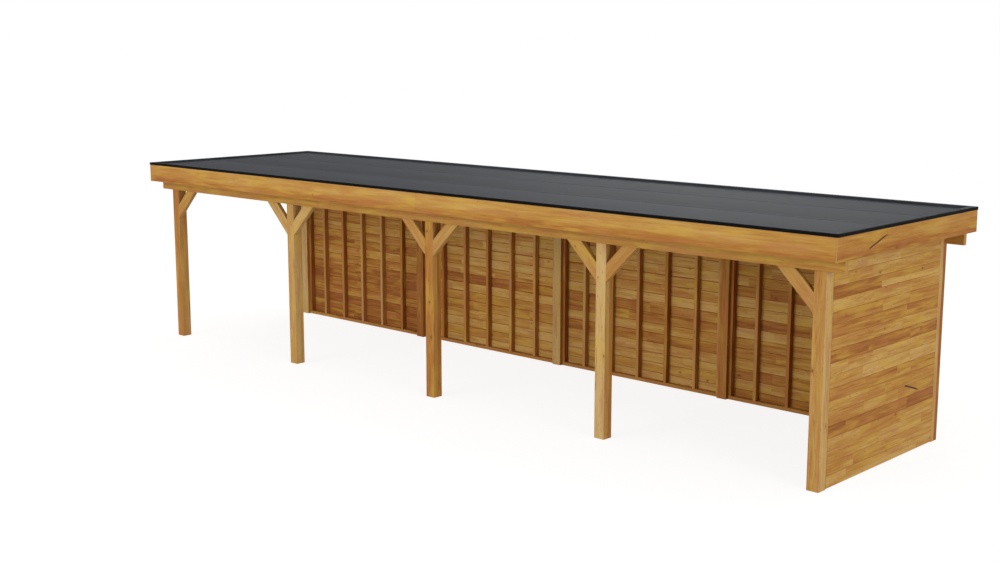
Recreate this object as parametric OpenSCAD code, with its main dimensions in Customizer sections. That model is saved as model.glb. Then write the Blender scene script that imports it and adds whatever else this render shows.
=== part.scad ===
// Freestanding flat-roofed timber veranda: four open bays, closed back and one closed end.
// Millimetres, +Z up, front towards -Y, closed end towards +X.
// The origin lies on the ground under the middle of the roof.

/* [Layout] */
// Distance from one post to the next along the length
bay_pitch = 2760; // [2000:10:3600]
// Depth over the outer faces of the front and back posts
depth = 2600; // [2000:10:4000]
// Height of the underside of the beams above the ground
clear_h = 2260; // [2000:10:2700]

/* [Posts and beams] */
// Width and depth of a square post
post_w = 140; // [110:5:200]
// Thickness of a beam
beam_t = 60; // [50:5:90]
// Height of a beam
beam_h = 215; // [180:5:300]
// How far a beam stands out in front of the posts that carry it
beam_proud = 30; // [10:5:45]

/* [Braces] */
// Width of a brace board
brace_w = 145; // [80:5:180]
// Thickness of a brace board
brace_t = 60; // [40:5:100]
// Distance from the beam's underside down the post to the foot of a brace
brace_leg = 435; // [300:5:700]

/* [Wall panels] */
// Face width of a stud and thickness of a plate
stud_w = 45; // [30:5:70]
// Depth of a stud
stud_d = 75; // [45:5:80]
// Distance from one stud to the next, counted from the middle of a panel
stud_pitch = 460; // [300:10:700]
// Thickness of the wall boards
board_t = 20; // [15:1:28]
// Gap between the ground and the lowest wall board
board_lift = 8; // [0:1:40]

/* [Roof] */
// How far the outside of the fascia stands beyond the posts
overhang = 230; // [120:10:600]
// Thickness of a fascia board
fascia_t = 20; // [15:1:30]
// Height of a fascia board
fascia_h = 250; // [200:5:300]
// Width of a roof joist
joist_w = 45; // [35:5:80]
// Height of a roof joist
joist_h = 145; // [95:5:195]
// Largest distance from one joist to the next
joist_pitch_max = 600; // [350:10:900]
// Thickness of the roof boards
deck_t = 20; // [15:1:28]
// Thickness of the roof membrane
membrane_t = 4; // [2:0.5:8]
// Width of the raised edge strips
kerb_w = 60; // [40:5:100]
// Height of the raised edge strips above the roof boards
kerb_h = 26; // [15:1:60]
// Thickness of the metal edge trim
trim_t = 4; // [2:0.5:6]
// Height of the outer face of the edge trim
trim_face_h = 35; // [33:1:80]

/* [Hidden] */

bays = 4;
last_post = bays + 1;

post_half_x = (bays * bay_pitch + post_w) / 2;
post_half_y = depth / 2;
beam_top = clear_h + beam_h;
joist_top = beam_top + joist_h;
deck_top = joist_top + deck_t;
kerb_top = deck_top + kerb_h;

roof_half_x = post_half_x + overhang;
roof_half_y = post_half_y + overhang;
core_half_x = roof_half_x - fascia_t;
core_half_y = roof_half_y - fascia_t;
tray_half_x = roof_half_x - kerb_w;
tray_half_y = roof_half_y - kerb_w;

notch = beam_t - beam_proud;
brace_foot = clear_h - brace_leg;
brace_cut = brace_w * sqrt(2);

back_panel_w = bay_pitch - post_w;
side_panel_w = depth - 2 * post_w;
// How much longer a cutting or crossing shape is than what it cuts
over = 10;

// X of the left face of post i, counted from 1 at the open end
function post_x(i) = -post_half_x + (i - 1) * bay_pitch;

// A block given by its low corner and its high corner
module block(lo, hi) {
  translate(lo)
    cube(hi - lo);
}

// Turns the front row into the back row
module to_back() {
  rotate([0, 0, 180])
    children();
}

// A post of the front row, cut back on its outer face to carry the beam
module row_post(x) {
  difference() {
    block([x, -post_half_y, 0], [x + post_w, -post_half_y + post_w, beam_top]);
    block([x - over, -post_half_y - over, clear_h],
          [x + post_w + over, -post_half_y + notch, beam_top + over]);
  }
}

module front_post(i) {
  color("peru")
    row_post(post_x(i));
}

module back_post(i) {
  color("peru")
    to_back()
      row_post(post_x(last_post + 1 - i));
}

// The beam of the front row
module row_beam() {
  block([-core_half_x, -post_half_y - beam_proud, clear_h],
        [core_half_x, -post_half_y + notch, beam_top]);
}

module front_beam() {
  color("tan")
    row_beam();
}

module back_beam() {
  color("tan")
    to_back()
      row_beam();
}

// A slanted board between post i and the beam, on the side given by way: 1 right, -1 left
module brace(i, way) {
  face_x = way > 0 ? post_x(i) + post_w : post_x(i);
  outline = [
    [0, brace_foot],
    [brace_leg, clear_h],
    [brace_leg - brace_cut, clear_h],
    [0, brace_foot + brace_cut]
  ];
  color("burlywood")
    translate([face_x, -post_half_y + brace_t, 0])
      mirror([way > 0 ? 0 : 1, 0, 0])
        rotate([90, 0, 0])
          linear_extrude(height = brace_t)
            polygon(outline);
}

// Studs between a bottom and a top plate, standing on the ground with one corner at the origin
module stud_frame(w, h) {
  inner_count = floor((w / 2 - 1.5 * stud_w) / stud_pitch);
  cube([w, stud_d, stud_w]);
  translate([0, 0, h - stud_w])
    cube([w, stud_d, stud_w]);
  for (x = [0, w - stud_w])
    translate([x, 0, 0])
      cube([stud_w, stud_d, h]);
  for (k = [-inner_count : inner_count])
    translate([w / 2 + k * stud_pitch - stud_w / 2, 0, 0])
      cube([stud_w, stud_d, h]);
}

module back_frame(i) {
  color("sienna")
    translate([post_x(i) + post_w, post_half_y - board_t - stud_d, 0])
      stud_frame(back_panel_w, clear_h);
}

module back_boards(i) {
  x = post_x(i) + post_w;
  color("peru")
    block([x, post_half_y - board_t, board_lift], [x + back_panel_w, post_half_y, clear_h]);
}

module side_frame() {
  color("sienna")
    translate([post_half_x - board_t, -post_half_y + post_w, 0])
      rotate([0, 0, 90])
        stud_frame(side_panel_w, beam_top);
}

module side_boards() {
  color("goldenrod")
    block([post_half_x - board_t, -post_half_y + post_w, board_lift],
          [post_half_x, post_half_y - post_w, beam_top]);
}

// One joist over each post, equal steps between them, and one at each end inside the fascia
module roof_joists() {
  steps = ceil(bay_pitch / joist_pitch_max);
  first = post_x(1) + (post_w - joist_w) / 2;
  over_frame = [for (k = [0 : bays * steps]) first + k * bay_pitch / steps];
  at_ends = [-core_half_x, core_half_x - joist_w];
  color("burlywood")
    for (x = concat(over_frame, at_ends))
      block([x, -core_half_y, beam_top], [x + joist_w, core_half_y, joist_top]);
}

module roof_deck() {
  color("burlywood")
    block([-core_half_x, -core_half_y, joist_top], [core_half_x, core_half_y, deck_top]);
}

module roof_membrane() {
  color("dimgray")
    block([-tray_half_x, -tray_half_y, deck_top],
          [tray_half_x, tray_half_y, deck_top + membrane_t]);
}

// The fascia board of one long side, between the boards of the ends
module long_fascia() {
  block([-core_half_x, -roof_half_y, deck_top - fascia_h], [core_half_x, -core_half_y, deck_top]);
}

// The fascia board of one end, over the full depth
module end_fascia() {
  block([core_half_x, -roof_half_y, deck_top - fascia_h], [roof_half_x, roof_half_y, deck_top]);
}

module long_kerb() {
  block([-roof_half_x, -roof_half_y, deck_top], [roof_half_x, -tray_half_y, kerb_top]);
}

module end_kerb() {
  block([tray_half_x, -tray_half_y, deck_top], [roof_half_x, tray_half_y, kerb_top]);
}

// The edge trim of one side whose outer face lies reach from the middle and runs half_run each
// way along X: a cap over the raised strip with a face outside and a leg down to the membrane
module trim_run(half_run, reach) {
  outer = reach + trim_t;
  end = half_run + trim_t;
  cap = kerb_w + 2 * trim_t;
  face_foot = kerb_top + trim_t - trim_face_h;
  intersection() {
    difference() {
      block([-end, -outer, face_foot], [end, -outer + cap, kerb_top + trim_t]);
      block([-end - over, -reach, face_foot - over], [end + over, -reach + kerb_w, kerb_top]);
      block([-end - over, -reach + kerb_w - over, face_foot - over],
            [end + over, -reach + cap + over, deck_top + membrane_t]);
    }
    linear_extrude(height = kerb_top + 2 * trim_t)
      polygon([[-end, -outer], [end, -outer], [end - cap, -outer + cap], [-end + cap, -outer + cap]]);
  }
}

module edge_trim_front() {
  color("black")
    trim_run(roof_half_x, roof_half_y);
}

module edge_trim_back() {
  color("black")
    to_back()
      trim_run(roof_half_x, roof_half_y);
}

module edge_trim_right() {
  color("black")
    rotate([0, 0, 90])
      trim_run(roof_half_y, roof_half_x);
}

module edge_trim_left() {
  color("black")
    rotate([0, 0, -90])
      trim_run(roof_half_y, roof_half_x);
}

front_post(1);  // front_post_1
front_post(2);  // front_post_2
front_post(3);  // front_post_3
front_post(4);  // front_post_4
front_post(5);  // front_post_5
back_post(1);  // back_post_1
back_post(2);  // back_post_2
back_post(3);  // back_post_3
back_post(4);  // back_post_4
back_post(5);  // back_post_5
front_beam();
back_beam();
brace(1, 1);  // brace_1_right
brace(2, -1);  // brace_2_left
brace(2, 1);  // brace_2_right
brace(3, -1);  // brace_3_left
brace(3, 1);  // brace_3_right
brace(4, -1);  // brace_4_left
brace(4, 1);  // brace_4_right
brace(5, -1);  // brace_5_left
back_frame(1);  // back_frame_1
back_frame(2);  // back_frame_2
back_frame(3);  // back_frame_3
back_frame(4);  // back_frame_4
back_boards(1);  // back_boards_1
back_boards(2);  // back_boards_2
back_boards(3);  // back_boards_3
back_boards(4);  // back_boards_4
side_frame();
side_boards();
roof_joists();
roof_deck();
roof_membrane();
color("peru") long_fascia();  // fascia_front
color("peru") to_back() long_fascia();  // fascia_back
color("peru") to_back() end_fascia();  // fascia_left
color("peru") end_fascia();  // fascia_right
color("tan") long_kerb();  // kerb_front
color("tan") to_back() long_kerb();  // kerb_back
color("tan") to_back() end_kerb();  // kerb_left
color("tan") end_kerb();  // kerb_right
edge_trim_front();
edge_trim_back();
edge_trim_left();
edge_trim_right();
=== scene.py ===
"""Looks of a long freestanding timber veranda: dressed timber, boarded walls, roof sheet and trim."""
import logging
import math
import random
from dataclasses import dataclass, field
from enum import Enum
from functools import lru_cache
from typing import Callable, Optional, Sequence, Union

import bmesh
import bpy
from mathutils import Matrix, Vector


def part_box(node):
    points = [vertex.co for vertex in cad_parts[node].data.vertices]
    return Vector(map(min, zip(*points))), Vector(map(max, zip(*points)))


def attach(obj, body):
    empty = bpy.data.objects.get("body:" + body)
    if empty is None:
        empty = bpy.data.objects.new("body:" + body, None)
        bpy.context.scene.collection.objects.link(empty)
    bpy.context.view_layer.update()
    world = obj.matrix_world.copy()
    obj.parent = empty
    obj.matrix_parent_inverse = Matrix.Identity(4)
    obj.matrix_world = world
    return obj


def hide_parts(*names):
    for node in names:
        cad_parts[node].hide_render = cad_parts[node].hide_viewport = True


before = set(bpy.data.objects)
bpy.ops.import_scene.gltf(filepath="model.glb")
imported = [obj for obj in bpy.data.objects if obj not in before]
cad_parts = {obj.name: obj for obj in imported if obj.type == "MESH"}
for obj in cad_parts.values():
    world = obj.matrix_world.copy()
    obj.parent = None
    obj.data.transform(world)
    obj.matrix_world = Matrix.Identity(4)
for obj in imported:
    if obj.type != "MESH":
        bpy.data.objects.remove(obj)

LOG = logging.getLogger("veranda")
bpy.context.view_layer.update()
MM = 0.001
HAIR = 1e-5

Triple = tuple[float, float, float]


def tint(red: int, green: int, blue: int) -> tuple[float, float, float, float]:
    """Turns a colour mixed on the 0 to 255 scale into the linear colour that a shader takes.

    Args:
        red: The red part.
        green: The green part.
        blue: The blue part.

    Returns:
        The linear colour, fully opaque.
    """
    def straight(part: int) -> float:
        """One channel, made linear."""
        share = part / 255
        return share / 12.92 if share <= 0.04045 else ((share + 0.055) / 1.055) ** 2.4
    return (straight(red), straight(green), straight(blue), 1.0)


# ---------------------------------------------------------------------------------------------
# Shader maths
# ---------------------------------------------------------------------------------------------


class Wire:
    """A shader socket that takes part in Python sums."""

    def __init__(self, graph: "Graph", socket: bpy.types.NodeSocket) -> None:
        """Keeps the graph and the socket that carries the value."""
        self.graph = graph
        self.socket = socket


class Num(Wire):
    """A number in a shader graph."""

    def _sum(self, operation: str, *terms: Union["Num", float]) -> "Num":
        """Adds one Math node.

        Args:
            operation: The Math node's operation.
            terms: Its inputs in order, as numbers or wires.

        Returns:
            The node's result.
        """
        node = self.graph.node("ShaderNodeMath", {"operation": operation}, dict(enumerate(terms)))
        return Num(self.graph, node.outputs[0])

    def __add__(self, other: Union["Num", float]) -> "Num":
        """self + other."""
        return self._sum("ADD", self, other)

    __radd__ = __add__

    def __sub__(self, other: Union["Num", float]) -> "Num":
        """self - other."""
        return self._sum("SUBTRACT", self, other)

    def __rsub__(self, other: float) -> "Num":
        """other - self."""
        return self._sum("SUBTRACT", other, self)

    def __mul__(self, other: Union["Num", float]) -> "Num":
        """self * other."""
        return self._sum("MULTIPLY", self, other)

    __rmul__ = __mul__

    def __truediv__(self, other: Union["Num", float]) -> "Num":
        """self / other."""
        return self._sum("DIVIDE", self, other)

    def __gt__(self, other: Union["Num", float]) -> "Num":
        """1 where self is above other."""
        return self._sum("GREATER_THAN", self, other)

    def fract(self) -> "Num":
        """The part after the decimal point."""
        return self._sum("FRACT", self)

    def size(self) -> "Num":
        """The value without its sign."""
        return self._sum("ABSOLUTE", self)

    def most(self, other: Union["Num", float]) -> "Num":
        """The larger of two values."""
        return self._sum("MAXIMUM", self, other)

    def ease(self, start: Union["Num", float], end: Union["Num", float]) -> "Num":
        """A smooth step.

        Args:
            start: Value of self at which the result is 0.
            end: Value of self at which the result is 1.

        Returns:
            A number from 0 to 1.
        """
        node = self.graph.node(
            "ShaderNodeMapRange",
            {"interpolation_type": "SMOOTHSTEP"},
            {"Value": self, "From Min": start, "From Max": end},
        )
        return Num(self.graph, node.outputs["Result"])


class Vec(Wire):
    """A vector or a colour in a shader graph."""

    def _sum(self, operation: str, *terms: Union["Vec", Triple]) -> bpy.types.Node:
        """Adds one Vector Math node with the terms as its inputs."""
        return self.graph.node("ShaderNodeVectorMath", {"operation": operation}, dict(enumerate(terms)))

    def __add__(self, other: Union["Vec", Triple]) -> "Vec":
        """self + other."""
        return Vec(self.graph, self._sum("ADD", self, other).outputs[0])

    def __sub__(self, other: Union["Vec", Triple]) -> "Vec":
        """self - other."""
        return Vec(self.graph, self._sum("SUBTRACT", self, other).outputs[0])

    def __mul__(self, other: Union[Num, float]) -> "Vec":
        """self stretched by a number."""
        node = self.graph.node("ShaderNodeVectorMath", {"operation": "SCALE"}, {0: self, "Scale": other})
        return Vec(self.graph, node.outputs[0])

    __rmul__ = __mul__

    def dot(self, other: "Vec") -> Num:
        """The dot product."""
        return Num(self.graph, self._sum("DOT_PRODUCT", self, other).outputs["Value"])

    def length(self) -> Num:
        """The length."""
        return Num(self.graph, self._sum("LENGTH", self).outputs["Value"])

    def parts(self) -> tuple[Num, Num, Num]:
        """The three components."""
        node = self.graph.node("ShaderNodeSeparateXYZ", {}, {0: self})
        return tuple(Num(self.graph, out) for out in node.outputs)


class Graph:
    """The node tree of one material."""

    def __init__(self, name: str) -> None:
        """Starts a material with one Principled shader joined to its output.

        Args:
            name: The material's name.
        """
        self.material = bpy.data.materials.new(name)
        self.material.use_nodes = True
        self.tree = self.material.node_tree
        self.tree.nodes.clear()
        self.shader = self.tree.nodes.new("ShaderNodeBsdfPrincipled")
        self.output = self.tree.nodes.new("ShaderNodeOutputMaterial")
        self.tree.links.new(self.shader.outputs[0], self.output.inputs[0])

    def node(
        self, kind: str, settings: Optional[dict] = None, inputs: Optional[dict] = None
    ) -> bpy.types.Node:
        """Adds a node.

        Args:
            kind: The node's type.
            settings: Properties to set first; "stops" holds a colour ramp's places and colours.
            inputs: Values or wires by socket name or number.

        Returns:
            The new node.
        """
        made = self.tree.nodes.new(kind)
        for key, value in (settings or {}).items():
            if key == "stops":
                self._stops(made.color_ramp, value)
            else:
                setattr(made, key, value)
        for key, value in (inputs or {}).items():
            self.feed(made.inputs[key], value)
        return made

    def surface(self, kind: str, inputs: dict) -> Wire:
        """Adds a node that gives a shader, and gives its output."""
        return Wire(self, self.node(kind, {}, inputs).outputs[0])

    def feed(self, socket: bpy.types.NodeSocket, value: object) -> None:
        """Sets a socket to a plain value or joins a wire to it.

        Args:
            socket: The input socket.
            value: A number, a colour, a vector or a wire.
        """
        if isinstance(value, Wire):
            self.tree.links.new(value.socket, socket)
        else:
            socket.default_value = value

    @staticmethod
    def _stops(ramp: bpy.types.ColorRamp, stops: Sequence[tuple[float, Sequence[float]]]) -> None:
        """Puts the places and colours on a ramp that starts with two stops.

        Args:
            ramp: The ramp.
            stops: The place and the colour of each stop, in order.
        """
        while len(ramp.elements) < len(stops):
            ramp.elements.new(0.5)
        for element, (place, colour) in zip(ramp.elements, stops):
            element.position = place
            element.color = colour

    def place(self) -> Vec:
        """The point on the piece, in metres."""
        return Vec(self, self.node("ShaderNodeTexCoord").outputs["Object"])

    def constant(self, value: Triple) -> Vec:
        """A fixed vector."""
        node = self.node("ShaderNodeCombineXYZ", {}, dict(enumerate(value)))
        return Vec(self, node.outputs[0])

    def mark(self, name: str) -> Vec:
        """A vector that was written on the piece's faces."""
        return Vec(self, self.node("ShaderNodeAttribute", {"attribute_name": name}).outputs["Vector"])

    def noise(self, where: Vec, scale: float, detail: float = 2.0, rough: float = 0.5) -> Num:
        """Soft noise from 0 to 1.

        Args:
            where: The point that it is read at.
            scale: Waves to the metre.
            detail: Octaves of finer noise.
            rough: Weight of the finer octaves.

        Returns:
            The noise.
        """
        node = self.node(
            "ShaderNodeTexNoise", {}, {"Vector": where, "Scale": scale, "Detail": detail, "Roughness": rough}
        )
        return Num(self, node.outputs[0])

    def grain(
        self, where: Vec, axis: Vec, across: float, along: float, detail: float = 2.0, rough: float = 0.5
    ) -> Num:
        """Soft noise from 0 to 1 that is drawn out along the grain.

        Args:
            where: The point that it is read at.
            axis: The way of the grain.
            across: Waves to the metre across the grain.
            along: Waves to the metre along it.
            detail: Octaves of finer noise.
            rough: Weight of the finer octaves.

        Returns:
            The noise.
        """
        drawn = where * across + axis * (where.dot(axis) * (along - across))
        return self.noise(drawn, 1.0, detail, rough)

    def ramp(self, amount: Num, stops: Sequence[tuple[float, Sequence[float]]]) -> Vec:
        """A colour picked along stops."""
        node = self.node("ShaderNodeValToRGB", {"stops": stops}, {0: amount})
        return Vec(self, node.outputs[0])

    def blend(self, amount: Union[Num, float], first: Union[Vec, tuple], second: Union[Vec, tuple]) -> Vec:
        """Goes from the first colour to the second as amount goes from 0 to 1."""
        node = self.node("ShaderNodeMix", {"data_type": "RGBA"}, {0: amount, 6: first, 7: second})
        return Vec(self, node.outputs[2])

    def relief(self, height: Num, strength: float, depth: float) -> Vec:
        """A bumped normal.

        Args:
            height: The height, from 0 to 1.
            strength: How much of the bump is used.
            depth: What a height of 1 stands for, in metres.

        Returns:
            The normal.
        """
        node = self.node("ShaderNodeBump", {}, {"Strength": strength, "Distance": depth, "Height": height})
        return Vec(self, node.outputs[0])

    def finish(self, **sockets: object) -> bpy.types.Material:
        """Feeds the shader's sockets.

        Args:
            sockets: The value of each socket, by its name with underscores for spaces.

        Returns:
            The material.
        """
        for name, value in sockets.items():
            self.feed(self.shader.inputs[name.replace("_", " ")], value)
        return self.material


# ---------------------------------------------------------------------------------------------
# Finishes
# ---------------------------------------------------------------------------------------------


@dataclass(frozen=True)
class Split:
    """A dark drying split that runs slantwise over a piece."""

    start: Triple
    end: Triple
    half_width: float = 12 * MM


@dataclass(frozen=True)
class Timber:
    """Golden softwood that takes its direction, tone and heart from marks on the faces.

    The marks are four vectors: "axis" points along the grain, "side" across it in the face, "heart"
    is a point on the tree's middle, and "cut" holds the tone from 0 pale to 1 russet, a seed, and 1
    on an end face.
    """

    name: str
    pale: tuple = tint(204, 164, 96)
    gold: tuple = tint(188, 140, 64)
    amber: tuple = tint(172, 113, 45)
    russet: tuple = tint(146, 84, 33)
    knot: tuple = tint(106, 60, 25)
    rosy: tuple = tint(180, 116, 68)
    straw: tuple = tint(206, 166, 66)
    end: tuple = tint(182, 138, 78)
    ring_step: float = 4.5 * MM
    streak: float = 0.95
    checks: float = 0.0
    flecks: float = 0.6
    knot_chance: float = 0.24
    knot_size: float = 11 * MM
    knot_cells: float = 3.3
    shine: float = 0.2
    roughness: float = 0.66
    relief: float = 0.5 * MM
    split: Optional[Split] = None

    @lru_cache(maxsize=None)
    def material(self) -> bpy.types.Material:
        """Builds the wood once for this finish.

        The grain's noises run from wide bands over streaks to fine fibre, and each has its waves to
        the metre across and along.

        Returns:
            The material.
        """
        g = Graph(self.name)
        point, axis = g.place(), g.mark("axis")
        tone, seed, is_end = g.mark("cut").parts()
        here = point + g.constant((seed * 37.0, seed * 91.0, seed * 53.0))

        knots, halo, around = self._knots(g, here, axis)
        flow = here + around

        streaks = g.grain(flow, axis, 38.0, 2.0, 4.0, 0.66)
        bands = g.grain(flow, axis, 9.0, 0.6)
        fibre = g.grain(flow, axis, 420.0, 9.0, 2.0, 0.6)
        patches = g.noise(here, 1.7, 2.0)
        late = self._rings(g, point, axis, here)

        shade = tone + (streaks - 0.5) * self.streak + (bands - 0.5) * (self.streak * 0.55)
        shade = shade + (late - 0.35) * 0.14 + (patches - 0.5) * 0.3 + halo * 0.24
        colour = g.ramp(shade, [(0.0, self.pale), (0.34, self.gold), (0.68, self.amber), (1.0, self.russet)])
        hue = g.grain(here, axis, 11.0, 1.6)
        colour = g.blend(hue.ease(0.5, 0.72) * 0.5, colour, self.rosy)
        colour = g.blend((1.0 - hue).ease(0.5, 0.72) * 0.5, colour, self.straw)
        fleck = g.grain(here, axis, 80.0, 16.0).ease(0.62, 0.76)
        colour = g.blend(fleck * self.flecks, colour, self.russet) * (0.9 + fibre * 0.2)
        colour = g.blend(knots * 0.75, colour, self.knot)
        colour = g.blend(is_end * (0.55 + late * 0.4), colour, self.end)

        height = fibre * 0.35 + late * 0.3 + knots * 0.3
        if self.checks:
            check = g.grain(here, axis, 58.0, 1.3, 1.0).ease(0.715, 0.76) * self.checks
            colour = g.blend(check, colour, self.knot)
            height = height - check * 1.5
        if self.split:
            gash = self._split(g, point)
            colour = g.blend(gash, colour, tint(66, 34, 12))
            height = height - gash * 0.3
        rough = self.roughness + (fibre - 0.5) * 0.16 - knots * 0.12
        bumps = g.relief(height, 0.6, self.relief)
        return g.finish(Base_Color=colour, Roughness=rough, Specular_IOR_Level=self.shine, Normal=bumps)

    def _rings(self, g: Graph, point: Vec, axis: Vec, here: Vec) -> Num:
        """Growth rings about the heart.

        Args:
            g: The graph.
            point: The point on the piece.
            axis: The way of the grain.
            here: The point, shifted by the piece's seed.

        Returns:
            0 in the soft early wood, 1 in the hard late wood.
        """
        run = point.dot(axis)
        wander = g.node("ShaderNodeTexNoise", {}, {"Vector": here, "Scale": 0.9, "Detail": 1.0})
        offset = point - g.mark("heart") + (Vec(g, wander.outputs[1]) - (0.5, 0.5, 0.5)) * 0.05
        spoke = offset - axis * offset.dot(axis)
        reach = spoke.length() + g.grain(here, axis, 22.0, 1.2) * 0.007
        saw = (reach / self.ring_step).fract()
        return saw.ease(0.25, 0.86) * (1.0 - saw.ease(0.88, 1.0))

    def _knots(self, g: Graph, here: Vec, axis: Vec) -> tuple[Num, Num, Vec]:
        """Scattered knots that run straight through a face.

        Args:
            g: The graph.
            here: The point, shifted by the piece's seed.
            axis: The way of the grain.

        Returns:
            The knots, the darker wood about them, and how far the grain bends round them.
        """
        side = g.mark("side")
        flat = g.constant((here.dot(axis) * 0.7, here.dot(side), 0.0))
        cells = g.node(
            "ShaderNodeTexVoronoi",
            {"voronoi_dimensions": "2D"},
            {"Vector": flat, "Scale": self.knot_cells, "Randomness": 0.9},
        )
        chance, size, _ = Vec(g, cells.outputs["Color"]).parts()
        away = flat - Vec(g, cells.outputs["Position"])
        gap = away.length() + g.noise(here, 90.0, 1.0) * 0.003
        there = chance > 1.0 - self.knot_chance
        radius = size * self.knot_size + 5 * MM
        knots = (1.0 - gap.ease(radius * 0.7, radius + 1.5 * MM)) * there
        near = (1.0 - gap.ease(0.0, radius * 3.4)) * there
        run, across, _ = away.parts()
        return knots, near, (axis * run + side * across) * (near * -0.55)

    def _split(self, g: Graph, point: Vec) -> Num:
        """The dark line of the split.

        Args:
            g: The graph.
            point: The point on the piece.

        Returns:
            1 along the line and 0 elsewhere.
        """
        start, end = Vector(self.split.start), Vector(self.split.end)
        run = end - start
        offset = point - tuple(start)
        flat = g.constant(tuple(run))
        share = offset.dot(flat) / run.length_squared
        inside = share.ease(0.0, 0.08) * (1.0 - share.ease(0.75, 1.0))
        line = offset - flat * share
        gap = (line.parts()[2] + g.noise(point, 34.0, 3.0) * 0.012 - 0.006).size()
        return (1.0 - gap.ease(self.split.half_width * 0.5, self.split.half_width)) * inside


@dataclass(frozen=True)
class RoofSheet:
    """Matte dark roofing sheet with faint scuffs and dust, and a soft step in tone at each seam."""

    name: str = "roof_sheet"
    base: tuple = tint(40, 42, 47)
    dust: tuple = tint(71, 74, 80)
    strip: float = 1.0
    seam: float = 0.6
    roughness: float = 0.78

    @lru_cache(maxsize=None)
    def material(self) -> bpy.types.Material:
        """Builds the sheet's surface once.

        Returns:
            The material.
        """
        g = Graph(self.name)
        point = g.place()
        tone, _, _ = g.mark("cut").parts()
        _, across, _ = point.parts()
        ramp = ((self.seam - across) / self.strip).fract()
        clouds = g.grain(point, g.constant(Axis.X.value), 2.6, 0.8, 4.0, 0.6)
        grain = g.noise(point, 260.0, 2.0)
        speck = g.noise(point, 31.0, 3.0, 0.7).ease(0.55, 0.8)
        wear = (clouds - 0.5) * 1.3 + speck * 0.1 + (0.5 - ramp) * 0.42 + tone
        colour = g.blend(wear.ease(-0.6, 0.8), self.base, self.dust) * (0.95 + grain * 0.1)
        rough = self.roughness + (clouds - 0.5) * 0.2
        bumps = g.relief(grain * 0.4 + clouds * 0.6, 0.4, 0.8 * MM)
        return g.finish(Base_Color=colour, Roughness=rough, Specular_IOR_Level=0.12, Normal=bumps)


@dataclass(frozen=True)
class CoatedMetal:
    """Satin coated sheet metal with a fine orange-peel surface and rubbed patches."""

    name: str
    colour: tuple
    rubbed: tuple
    metallic: float = 0.0
    shine: float = 0.5
    roughness: float = 0.42

    @lru_cache(maxsize=None)
    def material(self) -> bpy.types.Material:
        """Builds the coated surface once.

        Returns:
            The material.
        """
        g = Graph(self.name)
        point = g.place()
        peel = g.noise(point, 700.0, 1.0)
        smear = g.noise(point, 3.1, 4.0, 0.65)
        colour = g.blend(smear.ease(0.52, 0.9) * 0.6, self.colour, self.rubbed)
        return g.finish(
            Base_Color=colour,
            Metallic=self.metallic,
            Roughness=self.roughness + (smear - 0.5) * 0.25,
            Specular_IOR_Level=self.shine,
            Normal=g.relief(peel, 0.15, 0.1 * MM),
        )


# ---------------------------------------------------------------------------------------------
# Modelling
# ---------------------------------------------------------------------------------------------


class Axis(Enum):
    """The way of the grain in a straight piece."""

    X = (1.0, 0.0, 0.0)
    Y = (0.0, 1.0, 0.0)
    Z = (0.0, 0.0, 1.0)


class Side(Enum):
    """A side of the roof."""

    FRONT = "front"
    BACK = "back"
    LEFT = "left"
    RIGHT = "right"

    @property
    def long(self) -> bool:
        """Whether the side runs along X."""
        return self in (Side.FRONT, Side.BACK)


@dataclass(frozen=True)
class Stick:
    """A sawn block or a flat strip, with its place, the way of its grain and its tone."""

    low: Triple
    high: Triple
    axis: Axis
    tone: float

    @property
    def middle(self) -> Vector:
        """The block's centre."""
        return (Vector(self.low) + Vector(self.high)) / 2


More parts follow.
